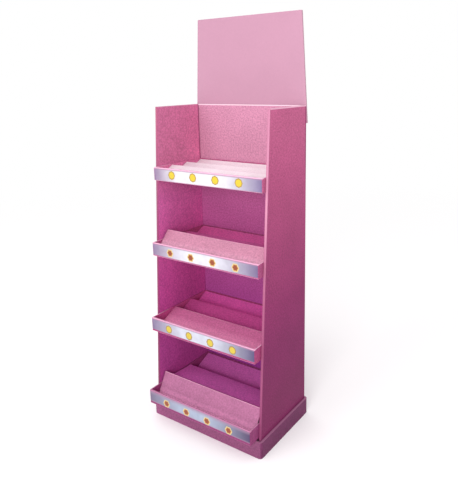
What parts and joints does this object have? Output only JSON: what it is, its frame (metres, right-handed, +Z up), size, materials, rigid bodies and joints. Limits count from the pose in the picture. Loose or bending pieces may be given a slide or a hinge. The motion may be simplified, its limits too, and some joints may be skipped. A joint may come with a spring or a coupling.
{
  "type": "cardboard display stand",
  "caption": "Free-standing cardboard shelf display: tapered hollow-sided body, lipped trays with stepped ramp inserts, tapered header card and base skirt.",
  "frame": {"origin": "centre of the footprint, at floor level", "axes": "+X across the width, to the right seen from the front; -Y to the open front; +Z up"},
  "size_m": [0.5096, 0.3732, 1.512],
  "materials": {
    "body_board": "printed, matt",
    "header_board": "printed, matt",
    "skirt_board": "printed, matt",
    "tray_board": "printed, matt",
    "ramp_board": "printed, matt",
    "edge_strip_card": "printed, satin",
    "clear_tape": "adhesive"
  },
  "bodies": {
    "root": {"body_sleeve": "body_board", "header_card": "header_board", "header_tape_strips": "clear_tape", "base_skirt": "skirt_board", "base_riser": "skirt_board", "tray_1": "tray_board", "tray_2": "tray_board", "tray_3": "tray_board", "tray_4": "tray_board", "stepped_insert_1": "ramp_board", "stepped_insert_2": "ramp_board", "stepped_insert_3": "ramp_board", "stepped_insert_4": "ramp_board", "shelf_edge_strip_1": "edge_strip_card", "shelf_edge_strip_2": "edge_strip_card", "shelf_edge_strip_3": "edge_strip_card", "shelf_edge_strip_4": "edge_strip_card"}
  },
  "joints": []
}
